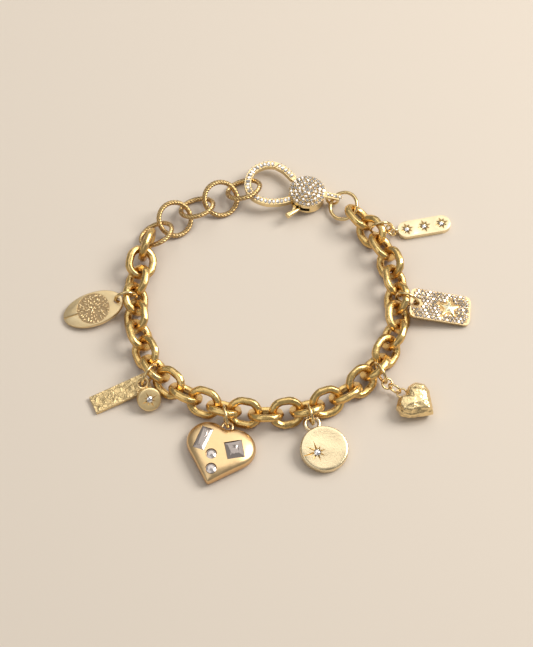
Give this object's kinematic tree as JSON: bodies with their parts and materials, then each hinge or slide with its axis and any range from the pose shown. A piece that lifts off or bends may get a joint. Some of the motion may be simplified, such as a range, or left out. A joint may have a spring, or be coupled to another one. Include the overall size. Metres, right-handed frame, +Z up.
{
  "type": "charm bracelet",
  "caption": "Cable-chain charm bracelet laid out closed, with a twisted-ring extender, a spring-gate clasp on one of its rings and flat charms on jump rings.",
  "frame": {"origin": "middle of the bounding box's underside, on the surface that the bracelet lies on", "axes": "+X along the laid-out loop's longer way, left to right as seen in the picture; +Y across it, from the heart charm towards the clasp; +Z up from the surface"},
  "size_m": [0.0948, 0.0838, 0.0074],
  "materials": {
    "chain_gold": "hammered and filed facets, bright on the high spots, warm antique gold between them",
    "extender_gold": "twisted wire, bright ridges and darker grooves",
    "ring_gold": "polished drawn wire",
    "clasp_gold": "polished rails and lever, pave stones between them",
    "pale_gold": "satin, pale yellow gold",
    "charm_gold": "polished and lightly brushed yellow gold",
    "heart_gold": "satin, slightly rosy gold with a rounded rim",
    "smoke_crystal": "faceted, smoky pink",
    "clear_crystal": "faceted, clear"
  },
  "bodies": {
    "bracelet": {"chain_link_01": "chain_gold", "chain_link_02": "chain_gold", "chain_link_03": "chain_gold", "chain_link_04": "chain_gold", "chain_link_05": "chain_gold", "chain_link_06": "chain_gold", "chain_link_07": "chain_gold", "chain_link_08": "chain_gold", "chain_link_09": "chain_gold", "chain_link_10": "chain_gold", "chain_link_11": "chain_gold", "chain_link_12": "chain_gold", "chain_link_13": "chain_gold", "chain_link_14": "chain_gold", "chain_link_15": "chain_gold", "chain_link_16": "chain_gold", "chain_link_17": "chain_gold", "chain_link_18": "chain_gold", "chain_link_19": "chain_gold", "chain_link_20": "chain_gold", "chain_link_21": "chain_gold", "chain_link_22": "chain_gold", "chain_link_23": "chain_gold", "chain_link_24": "chain_gold", "chain_link_25": "chain_gold", "chain_link_26": "chain_gold", "chain_link_27": "chain_gold", "chain_link_28": "chain_gold", "chain_link_29": "chain_gold", "extender_ring_1": "extender_gold", "extender_ring_2": "extender_gold", "extender_ring_3": "extender_gold", "extender_ring_4": "extender_gold", "extender_ring_5": "extender_gold", "clasp_ring": "ring_gold", "clasp_body": "clasp_gold", "jump_ring_oval": "ring_gold", "jump_ring_bar": "ring_gold", "jump_ring_heart": "ring_gold", "jump_ring_disc": "ring_gold", "jump_ring_small_heart": "ring_gold", "jump_ring_tag": "ring_gold", "jump_ring_pill": "ring_gold", "small_heart_ring_a": "ring_gold", "small_heart_ring_b": "ring_gold", "pill_ring": "ring_gold", "oval_tree_charm": "pale_gold", "bar_charm": "charm_gold", "small_disc_charm": "charm_gold", "heart_charm": "heart_gold", "heart_baguette": "smoke_crystal", "heart_square": "smoke_crystal", "heart_round_a": "smoke_crystal", "heart_round_b": "smoke_crystal", "disc_charm": "charm_gold", "disc_stone": "clear_crystal", "small_heart_charm": "charm_gold", "tag_charm": "charm_gold", "pill_charm": "pale_gold"},
    "gate": {"clasp_gate": "clasp_gold"}
  },
  "joints": [
    {"name": "gate_hinge", "type": "hinge", "parent": "bracelet", "child": "gate", "pos_m": [0.00783, 0.0349, 0.00226], "axis": [0.0716, 0.0417, 0.9966], "range_deg": [0, 20], "stiffness_Nm_per_rad": 0.002, "springref_deg": -20.05}
  ]
}
